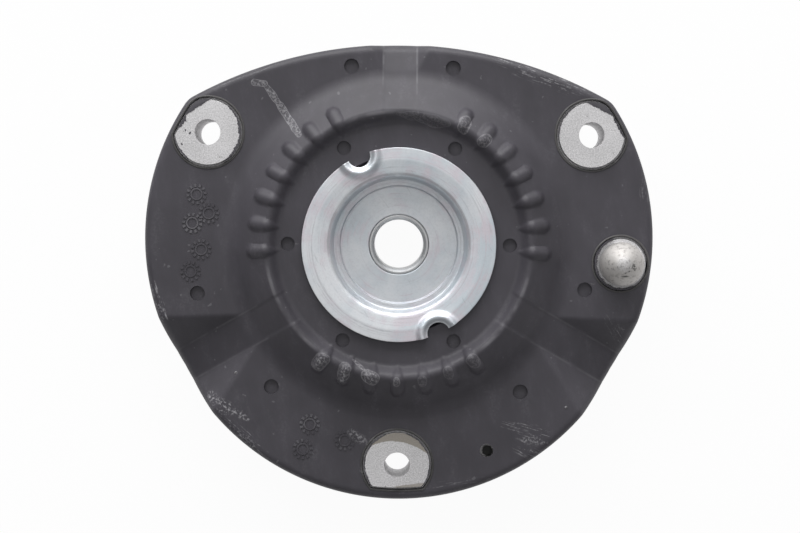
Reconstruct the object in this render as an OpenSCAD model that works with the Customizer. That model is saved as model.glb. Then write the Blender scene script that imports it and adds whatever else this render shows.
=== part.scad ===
// Top mount of a suspension strut: an aluminium casting sealed in moulded rubber, with a pressed steel cup,
// a steel sleeve for the strut rod and a steel stop plate below.
// Origin: on the rod axis, in the plane of the three bolt pads. +Z points up to the car body.

/* [Outline] */
// Reach of the three lobes from the rod axis
body_r = 85.2; // [82:0.1:90]
// Distance that each lobe's arc is centred out toward its bolt
lobe_shift = 4; // [0:0.1:6]
// Depth that the flattened side is cut in from the lobes' reach
top_cut = 18.8; // [16:0.1:21]
// Radius of the flattened side's arc
top_arc_r = 143; // [130:1:170]
// Rounding between the flattened side and the lobes
corner_r = 8; // [7:0.5:12]
// Rounding of the rubber rim's edges
rim_round = 1.6; // [0.8:0.1:2.4]
// Thickness of the rubber over the casting
skin = 1.8; // [1.2:0.1:2.4]

/* [Levels] */
// Drop of the rubber lobes below the bolt pads
lobe_drop = 1; // [0.5:0.1:2]
// Height of the groove round the cup above the pads
groove_z = 3.5; // [2.5:0.1:4]
// Depth of the casting's flange below the pads
flange_depth = 18; // [15:0.5:22]
// Height of the rubber rim's lower edge above the flange's underside
rim_lift = 1; // [0.5:0.1:2]
// Depth of the bearing ring below the pads
ring_depth = 30; // [26:0.5:36]
// Depth of the bolt bosses below the pads
boss_depth = 22; // [19:0.5:25]

/* [Crown] */
// Radius of the crown's crest
crest_r = 43.5; // [43:0.1:45]
// Height of the crown's crest above the pads
crest_z = 8; // [7:0.1:9.5]
// Rounding of the crest
crest_round = 3; // [2.6:0.1:3.6]
// Slope of the crown toward the cup, in degrees
inner_slope = 47; // [42:1:55]
// Slope of the crown toward the lobes, in degrees
outer_slope = 38; // [34:1:44]

/* [Crown ribs] */
// Ribs in each group
ribs_in_group = 7; // [5:2:9]
// Angle from rib to rib, in degrees
rib_pitch = 11; // [9:0.5:12]
// Radius at a rib's pointed inner end
rib_in_r = 39; // [38.5:0.1:41]
// Radius at a rib's round outer end
rib_out_r = 50.3; // [48:0.1:52]
// Width of a rib's round end
rib_w = 4.4; // [3:0.1:5]
// Narrowing of a rib's flanks behind the round end
rib_neck = 0.2; // [0.1:0.05:0.5]
// Height of a rib over the crown
rib_h = 1.4; // [0.6:0.1:1.8]

/* [Channels] */
// Distance from the crown's foot to where a channel's floor leaves the level of the lobes
channel_lead = 1.25; // [0.5:0.05:4]
// Width of a channel's floor
channel_w = 11; // [8:0.5:14]
// Fall of a channel's floor, in degrees
channel_fall = 20; // [16:0.5:23]
// Slope of a channel's side walls, in degrees
channel_wall = 35; // [30:1:45]
// Depth that a channel bites into the crown's foot
channel_bite = 0.3; // [0.2:0.05:0.6]

/* [Bolts and pads] */
// Distance from the lobes' reach to the bolt circle
bolt_edge = 11.7; // [10:0.1:13]
// Diameter of the bolt holes
bolt_hole_d = 8.5; // [7.4:0.1:10.5]
// Radius of a bare pad
pad_r = 10.8; // [10:0.1:12]
// Distance from the outline to an upper pad's outer edges
pad_inset = 2.6; // [2.5:0.1:4.5]
// Distance from the outline to the lower pad's outer edge
lower_pad_inset = 4.2; // [2.5:0.1:5]
// Width of the moat between a pad and the rubber
moat = 0.7; // [0.4:0.1:1]
// Width of the rubber lip round a moat
lip_w = 0.8; // [0.5:0.1:1.2]
// Height of the rubber lip
lip_h = 0.5; // [0.3:0.1:0.8]
// Radius of a boss below the flange
boss_r = 10; // [9:0.1:10.8]

/* [Locating pin] */
// Distance from the lobes' reach to the pin's middle
pin_edge = 11.2; // [10.8:0.1:12.5]
// Bearing of the pin, in degrees
pin_angle = -4.5; // [-6:0.1:-3]
// Radius of the pin
pin_r = 7.2; // [6:0.1:7.6]
// Length of the pin's straight part above the pads
pin_straight = 5; // [3:0.1:6]
// Height of the pin above the pads
pin_h = 11; // [9:0.1:13]
// Radius of the pin's blunt tip
pin_tip_r = 4.4; // [3:0.1:5.5]
// Rounding of the tip's edge
pin_tip_round = 1.6; // [0.8:0.1:2.4]
// Width of the collar at the pin's foot
pin_collar_w = 1; // [0.6:0.1:1.3]
// Rise of that collar over the rubber lobes
pin_collar_rise = 0.6; // [0.3:0.1:0.8]

/* [Dimples] */
// Diameter of the dimples in the groove
groove_dimple_d = 4.7; // [4:0.1:5.2]
// Radius of the circle of groove dimples
groove_dimple_r = 36.6; // [35.8:0.1:37]
// Diameter of the dimples in the lobes
lobe_dimple_d = 5; // [4:0.1:6]
// Depth of the dimples
dimple_depth = 0.9; // [0.5:0.1:1.1]
// Distance from the crown's foot to the two dimples beside the upper channel
dimple_near = 5.1; // [4:0.1:6]
// Distance from the crown's foot to the three dimples of the lower lobes
dimple_mid = 7.6; // [6:0.1:9]
// Distance from the crown's foot to the dimple near the left channel
dimple_far = 12.9; // [10:0.1:14]
// Diameter of the open gauge hole that shows the casting
gauge_hole_d = 4.5; // [3.5:0.1:5]
// Depth of the gauge hole in the casting
gauge_hole_depth = 3.5; // [2:0.1:4]
// Distance from the lobes' reach to the gauge hole's middle
gauge_hole_edge = 10.5; // [9:0.1:12]

/* [Upper cup] */
// Radius of the cup's rim
cup_r = 32.5; // [31:0.1:33]
// Height of the cup's flange above the pads
cup_z = 7; // [6.5:0.1:8]
// Sheet thickness of the cup
cup_sheet = 2; // [1.5:0.1:2.2]
// Radius at the top of the cup's wall
cup_wall_r = 22.4; // [21.8:0.1:23]
// Outer radius of the cup's ledge
cup_ledge_r = 21; // [20.4:0.1:21.4]
// Height of the cup's ledge
cup_ledge_z = 0.5; // [0:0.1:1]
// Radius of the cup's bottom
cup_bottom_r = 18.8; // [18:0.1:19.6]
// Height of the cup's bottom
cup_bottom_z = -1; // [-1.4:0.1:-0.6]
// Rounding from the flange into the wall
cup_roll = 4; // [3:0.1:4.4]
// Radius of the two notches in the rim
notch_r = 3.75; // [3:0.05:4.2]
// Bearing of the first notch, in degrees
notch_angle = 114.7; // [110:0.1:120]
// Radius of the bead's crest round a notch
bead_crest_r = 5.7; // [5.4:0.1:6.2]
// Radius of the bead's section
bead_section_r = 2; // [1.5:0.1:2.2]
// Height of the bead over the flange
bead_h = 1.6; // [0.8:0.1:1.8]
// Width of the slope between the ledge and the bottom
cup_step_w = 0.5; // [0.3:0.1:1]

/* [Sleeve and stop plate] */
// Diameter of the rod bore
rod_bore_d = 16.5; // [14:0.1:17]
// Radius of the sleeve's ends
sleeve_r = 9.85; // [9.6:0.05:10.5]
// Radius of the sleeve's thick middle
sleeve_mid_r = 12.5; // [11.5:0.1:14]
// Chamfer of the bore
bore_chamfer = 0.9; // [0.4:0.1:1]
// Depth of the sleeve's top below the cup's bottom
sleeve_drop = 0.2; // [0.1:0.1:0.6]
// Gap between the sleeve and the cup's hole
cup_gap = 0.15; // [0.1:0.05:0.3]
// Radius of the stop plate
plate_r = 34; // [31:0.5:36]
// Thickness of the stop plate
plate_t = 3; // [2:0.1:3.4]
// Depth of the stop plate's upper face below the pads
plate_depth = 17; // [16.5:0.1:19]
// Length of the sleeve below the stop plate
sleeve_tail = 1; // [0.5:0.1:2]
// Width of the stop plate's turned-down rim
plate_rim_w = 2.5; // [1.5:0.1:4]
// Drop of that rim
plate_rim_drop = 1.5; // [0.8:0.1:2.5]

/* [Casting] */
// Inner radius of the casting's web
web_r = 27.5; // [26.5:0.1:29]
// Depth of the web's upper face below the pads
web_top_depth = 1.5; // [1:0.1:2.5]
// Thickness of the web
web_t = 8.5; // [7:0.1:9.5]
// Inner radius of the bearing ring
ring_in_r = 46; // [45:0.1:47]
// Outer radius of the bearing ring
ring_out_r = 54; // [53:0.1:55]
// Depth of the pockets under the lobes
pocket_depth = 11; // [5:0.5:12]
// Angle that a pocket spans, in degrees
pocket_span = 12; // [9:0.5:12.5]
// Angle of the rib between two pockets, in degrees
pocket_rib = 3; // [2:0.5:4]
// Wall between a pocket and the casting's rim
pocket_wall = 4; // [3:0.1:5]
// Chamfer of the web's and the bearing ring's edges
cast_edge = 1; // [0.5:0.1:1.5]

/* [Rubber spring] */
// Clearance between the cup and the rubber spring
spring_gap = 1.5; // [1:0.1:2]
// Thickness of the rubber cushion under the web
cushion_t = 4.2; // [3:0.1:4.6]
// Distance that the groove round the cup runs in under the cup's rim
groove_under = 3.1; // [2.5:0.1:4]
// Chamfer of the groove's inner edge
groove_edge = 1; // [0.5:0.1:1.5]
// Width of the cushion's land outside the stop plate and inside the web
cushion_land = 1; // [0.5:0.1:2]
// Width of the slope from the cushion up to the skin under the web
cushion_slope = 3; // [2:0.1:5]
// Hollow of the spring's underside
spring_hollow = 1; // [0.5:0.1:2]

/* [Hidden] */
$fn = 128;
lobe_z = -lobe_drop;
bolt_angles = [30, 150, 270];
channel_angles = [90, 210, 330];
valley_angle = -30;
arc_step = 2;
over = 1;

// Places that follow the lobes' reach and the crown's foot
top_reach = body_r - top_cut;
bolt_circle_r = body_r - bolt_edge;
pin_reach = body_r - pin_edge;
gauge_hole_reach = body_r - gauge_hole_edge;
foot_r = crown_foot(0, lobe_z);
channel_start_r = foot_r + channel_lead;

// Corner arc: tangent inside the upper lobe and inside the flattened side
lobe_arc_r = body_r - lobe_shift;
lower_lobe = lobe_shift * [cos(bolt_angles[2]), sin(bolt_angles[2])];
upper_lobe = lobe_shift * [cos(bolt_angles[0]), sin(bolt_angles[0])];
top_centre = [0, top_reach - top_arc_r];
corner_reach = lobe_arc_r - corner_r;
corner_way = top_centre - upper_lobe;
corner_along = (pow(corner_reach, 2) - pow(top_arc_r - corner_r, 2) + corner_way * corner_way) / (2 * norm(corner_way));
corner_aside = sqrt(pow(corner_reach, 2) - pow(corner_along, 2));
corner_centre = upper_lobe
    + (corner_along * corner_way + corner_aside * [-corner_way.y, corner_way.x]) / norm(corner_way);
corner_start = atan2(corner_centre.y - upper_lobe.y, corner_centre.x - upper_lobe.x);
corner_end = atan2(corner_centre.y - top_centre.y, corner_centre.x);

// Pin, sleeve and cup levels
pin_at = pin_reach * [cos(pin_angle), sin(pin_angle)];
collar_r = pin_r + pin_collar_w;
collar_z = lobe_z + pin_collar_rise;
sleeve_top = cup_bottom_z - sleeve_drop;
cup_seat = cup_bottom_z - cup_sheet;
plate_top = -plate_depth;
plate_bottom = plate_top - plate_t;
sleeve_bottom = plate_bottom - sleeve_tail;
web_top = -web_top_depth;
web_bottom = web_top - web_t;
flange_bottom = -flange_depth;
flange_top = lobe_z - skin;
rim_bottom = flange_bottom + rim_lift;

// Bearing of the gauge hole, and the six lobe dimples as [distance from the crown's foot, bearing]
gauge_hole_angle = -66.5;
lobe_dimples = [[dimple_near, 105.3], [dimple_near, 73.3], [dimple_far, 194.1],
    [dimple_mid, -13.3], [dimple_mid, 228.6], [dimple_mid, 309.9]];

// Points of an arc, the first one left out
function arc(centre, r, from, to) =
    let (n = max(2, ceil(abs(to - from) / arc_step)))
    [for (i = [1:n]) let (a = from + (to - from) * i / n) centre + r * [cos(a), sin(a)]];

// Angle that a lobe's arc runs past the lower channel's axis to meet the next lobe, at a given inset
function lobe_turn(inset) = asin(lobe_shift * sin(bolt_angles[0] - valley_angle) / (lobe_arc_r - inset));

// Right half of the outline from bottom to top, inset all round
function half_outline(inset) = concat(
    arc(lower_lobe, lobe_arc_r - inset, -90, valley_angle + lobe_turn(inset)),
    arc(upper_lobe, lobe_arc_r - inset, valley_angle - lobe_turn(inset), corner_start),
    arc(corner_centre, corner_r - inset, corner_start, corner_end),
    arc(top_centre, top_arc_r - inset, corner_end, 90));

// Whole outline, inset all round
function outline(inset) =
    let (half = half_outline(inset), last = len(half) - 1)
    concat(half, [for (i = [last - 1:-1:0]) [-half[i].x, half[i].y]], [[0, -body_r + inset]]);

// Point where the crown's outer slope meets a level, as a radius
function crown_foot(inset, level) =
    let (p = crest_point(inset, 90 - outer_slope)) p.x + (p.y - level) / tan(outer_slope);

// Point where the crown's inner slope meets a level, as a radius
function crown_toe(inset, level) =
    let (p = crest_point(inset, 90 + inner_slope)) p.x - (p.y - level) / tan(inner_slope);

// Point on the crest's arc
function crest_point(inset, a) =
    [crest_r, crest_z - crest_round] + (crest_round - inset) * [cos(a), sin(a)];

// Section of the crown from its inner toe to its outer foot
function crown_line(inset, inner_level, outer_level) = concat(
    [[crown_toe(inset, inner_level), inner_level]],
    [for (i = [0:10]) crest_point(inset, 90 + inner_slope - (inner_slope + outer_slope) * i / 10)],
    [[crown_foot(inset, outer_level), outer_level]]);

// Solid with the body's outline and rounded edges, from rings of [inset, height]
module rounded_slab(rings) {
    loops = [for (ring = rings) [for (p = outline(ring[0])) [p.x, p.y, ring[1]]]];
    n = len(loops[0]);
    last = len(rings) - 1;
    sides = [for (k = [0:last - 1], i = [0:n - 1]) let (j = (i + 1) % n)
        each [[k * n + i, (k + 1) * n + i, (k + 1) * n + j], [k * n + i, (k + 1) * n + j, k * n + j]]];
    bottom = [for (i = [0:n - 1]) i];
    top = [for (i = [n - 1:-1:0]) last * n + i];
    polyhedron([for (loop = loops) each loop], concat([bottom], sides, [top]));
}

// Straight solid with the body's outline
module outline_prism(inset, from, to) {
    translate([0, 0, from])
        linear_extrude(to - from)
            polygon(outline(inset));
}

// Space above one channel's floor, lowered and widened by the inset
module channel_space(inset) {
    half_w = channel_w / 2 + inset * tan(channel_wall / 2);
    back = channel_lead + crest_z / tan(outer_slope);
    tall = flange_depth + crest_z;
    spread = tall / tan(channel_wall);
    profile = [[-half_w, 0], [half_w, 0], [half_w + spread, tall], [-half_w - spread, tall]];
    translate([channel_start_r, 0, lobe_z])
        rotate([0, channel_fall, 0])
            translate([-back, 0, -inset])
                rotate([90, 0, 90])
                    linear_extrude(body_r)
                        polygon(profile);
}

// Plan of one pad, grown or shrunk all round
module pad_plan(bearing, grow) {
    inset = bearing == bolt_angles[2] ? lower_pad_inset : pad_inset;
    intersection() {
        translate(bolt_circle_r * [cos(bearing), sin(bearing)])
            circle(pad_r + grow);
        polygon(outline(inset - grow));
    }
}

// Drilled or raised round at a distance and bearing
module round_at(reach, bearing, r, from, to) {
    rotate(bearing)
        translate([reach, 0, from])
            cylinder(r = r, h = to - from);
}

// Plan of the two pockets on one side of a boss
module pocket_pair(bearing, side) {
    far = 2 * body_r;
    first = asin((boss_r + pocket_wall) / bolt_circle_r);
    for (k = [0, 1]) {
        a = first + k * (pocket_span + pocket_rib);
        b = a + pocket_span;
        corners = [for (c = [a, b]) far * [cos(bearing + side * c), sin(bearing + side * c)]];
        polygon(concat([[0, 0]], corners));
    }
}

// Plan of all the pockets under the lobes
module pocket_plan() {
    difference() {
        intersection() {
            polygon(outline(skin + pocket_wall));
            union() {
                for (bearing = bolt_angles, side = [-1, 1]) {
                    pocket_pair(bearing, side);
                }
            }
        }
        circle(ring_out_r + pocket_wall);
        translate(pin_at)
            circle(collar_r + pocket_wall / 2);
    }
}

// Aluminium casting: flange, crown, web, bearing ring, bolt bosses and locating pin,
// with or without its pockets and bolt holes
module carrier_body(machined) {
    crown = crown_line(skin, web_top, flange_top);
    crown_end = crown[len(crown) - 1].x;
    section = concat(
        [[web_r, web_top - cast_edge], [web_r + cast_edge, web_top]],
        crown,
        [[crown_end + over, flange_top], [crown_end + over, flange_bottom], [ring_out_r, flange_bottom],
         [ring_out_r, -ring_depth + cast_edge], [ring_out_r - cast_edge, -ring_depth],
         [ring_in_r + cast_edge, -ring_depth], [ring_in_r, -ring_depth + cast_edge], [ring_in_r, web_bottom],
         [web_r + cast_edge, web_bottom], [web_r, web_bottom + cast_edge]]);
    difference() {
        union() {
            difference() {
                outline_prism(skin, flange_bottom, flange_top);
                translate([0, 0, flange_bottom - over])
                    cylinder(r = ring_out_r - over, h = flange_depth + 2 * over);
                for (bearing = channel_angles) {
                    difference() {
                        rotate(bearing)
                            channel_space(skin);
                        translate([0, 0, flange_bottom])
                            cylinder(r = crown_end + over, h = 2 * flange_depth);
                    }
                }
                if (machined) {
                    translate([0, 0, flange_bottom - over])
                        linear_extrude(pocket_depth + over)
                            pocket_plan();
                }
            }
            rotate_extrude()
                polygon(section);
            for (bearing = bolt_angles) {
                translate([0, 0, flange_bottom])
                    linear_extrude(flange_depth)
                        pad_plan(bearing, 0);
                translate([0, 0, -boss_depth])
                    linear_extrude(boss_depth - flange_depth + over)
                        pad_plan(bearing, boss_r - pad_r);
            }
            locating_pin();
        }
        if (machined) {
            for (bearing = bolt_angles) {
                round_at(bolt_circle_r, bearing, bolt_hole_d / 2, -boss_depth - over, over);
            }
            round_at(gauge_hole_reach, gauge_hole_angle, gauge_hole_d / 2, flange_top - gauge_hole_depth, over);
        }
    }
}

// Cast locating pin with its collar, conical lead and blunt tip
module locating_pin() {
    tip = [for (i = [0:6]) let (a = 90 * i / 6)
        [pin_tip_r - pin_tip_round * (1 - cos(a)), pin_h - pin_tip_round * (1 - sin(a))]];
    foot = [[0, flange_bottom], [collar_r, flange_bottom], [collar_r, collar_z], [pin_r, collar_z],
        [pin_r, pin_straight]];
    translate(pin_at)
        rotate_extrude()
            polygon(concat(foot, tip, [[0, pin_h]]));
}

module carrier() {
    color("#bdbbbd")
        carrier_body(machined = true);
}

// Solid of revolution under the crown's surface
module crown_solid(inset) {
    line = crown_line(inset, groove_z - inset, lobe_z - inset);
    last = len(line) - 1;
    rotate_extrude()
        polygon(concat(line, [[line[last].x, flange_bottom], [line[0].x, flange_bottom]]));
}

// Crown ribs: drop-shaped plans cut from a band that lies over the crown
module crown_ribs() {
    line = crown_line(0, groove_z, lobe_z);
    last = len(line) - 1;
    raised = [for (p = line) p + [0, rib_h]];
    sunk = [for (i = [last:-1:0]) line[i] - [0, skin / 2]];
    end_r = rib_out_r - rib_w / 2;
    flank = (rib_w - rib_neck) / 2;
    intersection() {
        rotate_extrude()
            polygon(concat(raised, sunk));
        linear_extrude(2 * crest_z)
            for (bearing = bolt_angles, k = [0:ribs_in_group - 1]) {
                rotate(bearing + (k - (ribs_in_group - 1) / 2) * rib_pitch) {
                    translate([end_r, 0])
                        circle(rib_w / 2);
                    polygon([[rib_in_r, 0], [end_r, -flank], [end_r, flank]]);
                }
            }
    }
}

// Rubber spring between the casting and the sleeve, up to the crown
module spring_section() {
    crown = crown_line(0, groove_z, lobe_z);
    wall_foot = cup_ledge_r + cup_sheet + spring_gap;
    groove_start = cup_r - groove_under;
    cushion_z = web_bottom - cushion_t;
    polygon(concat(
        [[sleeve_mid_r, cup_seat - spring_gap], [cup_bottom_r + cup_sheet, cup_seat - spring_gap],
         [wall_foot, cup_ledge_z - cup_sheet - spring_gap / 2], [groove_start - groove_edge, groove_z - groove_edge],
         [groove_start, groove_z]],
        crown,
        [[foot_r + over, lobe_z], [foot_r + over, web_bottom], [ring_in_r, web_bottom],
         [ring_in_r, web_bottom - skin], [plate_r + cushion_land + cushion_slope, web_bottom - skin],
         [plate_r + cushion_land, cushion_z], [web_r - cushion_land, cushion_z],
         [(web_r + sleeve_mid_r) / 2, cushion_z + spring_hollow], [sleeve_mid_r, cushion_z]]));
}

// One-piece rubber moulding: skin, rim, crown with its ribs, lips, dimples and spring
module rubber_body() {
    steps = [0, 30, 60, 90];
    rings = concat(
        [for (a = steps) [rim_round * (1 - sin(a)), rim_bottom + rim_round * (1 - cos(a))]],
        [for (a = steps) [rim_round * (1 - cos(a)), lobe_z - rim_round * (1 - sin(a))]]);
    color("#3d3b40")
        difference() {
            union() {
                difference() {
                    union() {
                        difference() {
                            rounded_slab(rings);
                            translate([0, 0, -ring_depth])
                                cylinder(r = foot_r - over, h = 2 * ring_depth);
                        }
                        rotate_extrude()
                            spring_section();
                    }
                    for (bearing = channel_angles) {
                        rotate(bearing)
                            difference() {
                                channel_space(0);
                                crown_solid(channel_bite);
                                difference() {
                                    crown_solid(-channel_bite);
                                    translate([0, -channel_w / 2, flange_bottom - over])
                                        cube([body_r, channel_w, flange_depth + 2 * crest_z]);
                                }
                            }
                    }
                }
                crown_ribs();
                for (bearing = bolt_angles) {
                    translate([0, 0, lobe_z - skin / 2])
                        linear_extrude(skin / 2 + lip_h)
                            pad_plan(bearing, moat + lip_w);
                }
                translate(pin_at)
                    translate([0, 0, lobe_z - skin / 2])
                        cylinder(r = collar_r + moat + lip_w, h = skin / 2 + lip_h);
            }
            carrier_body(machined = false);
            for (bearing = bolt_angles) {
                translate([0, 0, flange_top])
                    linear_extrude(skin + lip_h + over)
                        pad_plan(bearing, moat);
            }
            translate(pin_at)
                translate([0, 0, flange_top])
                    cylinder(r = collar_r + moat, h = skin + lip_h + over);
            for (k = [0:5]) {
                round_at(groove_dimple_r, 60 * k, groove_dimple_d / 2, groove_z - dimple_depth, crest_z);
            }
            for (d = lobe_dimples) {
                round_at(foot_r + d[0], d[1], lobe_dimple_d / 2, lobe_z - dimple_depth, over);
            }
            round_at(gauge_hole_reach, gauge_hole_angle, gauge_hole_d / 2, flange_top, over);
        }
}

// Pressed cup: flange, rolled wall, ledge and bottom, with two beaded notches in its rim
module upper_cup() {
    hole_r = sleeve_r + cup_gap;
    roll_centre = [cup_wall_r + cup_roll, cup_z - cup_roll];
    upper = concat(
        [[cup_r, cup_z]],
        [for (i = [0:8]) let (a = 90 + 80 * i / 8) roll_centre + cup_roll * [cos(a), sin(a)]],
        [[cup_ledge_r, cup_ledge_z], [cup_bottom_r, cup_ledge_z], [cup_bottom_r - cup_step_w, cup_bottom_z],
         [hole_r, cup_bottom_z]]);
    lower = concat(
        [[hole_r, cup_seat], [cup_bottom_r + cup_step_w, cup_seat],
         [cup_bottom_r + 2 * cup_step_w, cup_ledge_z - cup_sheet],
         [cup_ledge_r + cup_sheet, cup_ledge_z - cup_sheet]],
        [for (i = [8:-1:0]) let (a = 90 + 80 * i / 8) roll_centre + (cup_roll - cup_sheet) * [cos(a), sin(a)]],
        [[cup_r, cup_z - cup_sheet]]);
    color("#c2c7cc")
        difference() {
            union() {
                rotate_extrude()
                    polygon(concat(upper, lower));
                intersection() {
                    for (turn = [0, 180]) {
                        rotate(notch_angle + turn)
                            translate([cup_r, 0, cup_z + bead_h - bead_section_r])
                                rotate_extrude()
                                    translate([bead_crest_r, 0])
                                        circle(bead_section_r);
                    }
                    translate([0, 0, cup_z - cup_sheet / 2])
                        cylinder(r = cup_r, h = cup_sheet + bead_h);
                }
            }
            for (turn = [0, 180]) {
                round_at(cup_r, notch_angle + turn, notch_r, cup_bottom_z, cup_z + bead_h + over);
            }
        }
}

// Stop plate under the rubber spring, with a turned-down rim
module lower_plate() {
    section = [[sleeve_r, plate_top], [plate_r - plate_rim_w, plate_top], [plate_r, plate_top - plate_rim_drop],
        [plate_r, plate_bottom - plate_rim_drop], [plate_r - plate_rim_w, plate_bottom], [sleeve_r, plate_bottom]];
    color("#b4b8bb")
        rotate_extrude()
            polygon(section);
}

// Turned sleeve for the strut rod, with shoulders for the cup and the stop plate
module inner_sleeve() {
    bore_r = rod_bore_d / 2;
    section = [[bore_r, sleeve_bottom + bore_chamfer], [bore_r + bore_chamfer, sleeve_bottom],
        [sleeve_r, sleeve_bottom], [sleeve_r, plate_top], [sleeve_mid_r, plate_top],
        [sleeve_mid_r, cup_seat], [sleeve_r, cup_seat], [sleeve_r, sleeve_top],
        [bore_r + bore_chamfer, sleeve_top], [bore_r, sleeve_top - bore_chamfer]];
    color("#9b9ea1")
        rotate_extrude()
            polygon(section);
}

carrier();
rubber_body();
upper_cup();
lower_plate();
inner_sleeve();
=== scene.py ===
"""Dresses the strut mount in a white studio.

The pieces are the rubber moulding, aluminium casting, pressed cup, rod sleeve and stop plate.
"""

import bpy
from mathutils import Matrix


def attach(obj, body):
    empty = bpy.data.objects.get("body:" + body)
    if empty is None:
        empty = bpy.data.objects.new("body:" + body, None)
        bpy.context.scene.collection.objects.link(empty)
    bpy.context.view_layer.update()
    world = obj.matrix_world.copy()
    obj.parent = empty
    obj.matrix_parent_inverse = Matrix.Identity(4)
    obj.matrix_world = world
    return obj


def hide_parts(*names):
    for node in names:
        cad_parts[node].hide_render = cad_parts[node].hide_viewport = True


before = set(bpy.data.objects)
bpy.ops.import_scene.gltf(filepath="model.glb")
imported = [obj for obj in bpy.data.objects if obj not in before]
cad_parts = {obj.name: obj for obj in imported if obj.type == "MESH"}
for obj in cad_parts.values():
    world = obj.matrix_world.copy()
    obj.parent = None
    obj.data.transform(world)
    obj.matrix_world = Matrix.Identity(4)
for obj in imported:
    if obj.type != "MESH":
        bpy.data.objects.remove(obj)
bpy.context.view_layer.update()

import logging
import math
from contextlib import contextmanager
from dataclasses import dataclass
from enum import Enum
from typing import Iterator, Optional, Sequence, Union

import bpy
import numpy as np
from mathutils import Vector

MM = 0.001
MERGE = 1e-6
Point = tuple[float, float]
Triple = tuple[float, float, float]
Piece = bpy.types.Object
Finish = bpy.types.Material
Number = Union["Sock", float]
log = logging.getLogger("strut_mount")


class Slot(Enum):
    """Names of the material slots."""

    CAST = "cast_aluminium"
    RUBBER = "rubber"
    ZINC = "zinc_steel"
    PLATE = "plate_steel"
    SLEEVE = "sleeve_steel"


class Row(Enum):
    """What a row of the rubber's section follows when the mould's form is pressed into it."""

    FIXED = 0
    TOP = 1
    EDGE = 2
    WALL = 3
    INNER = 4


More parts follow.
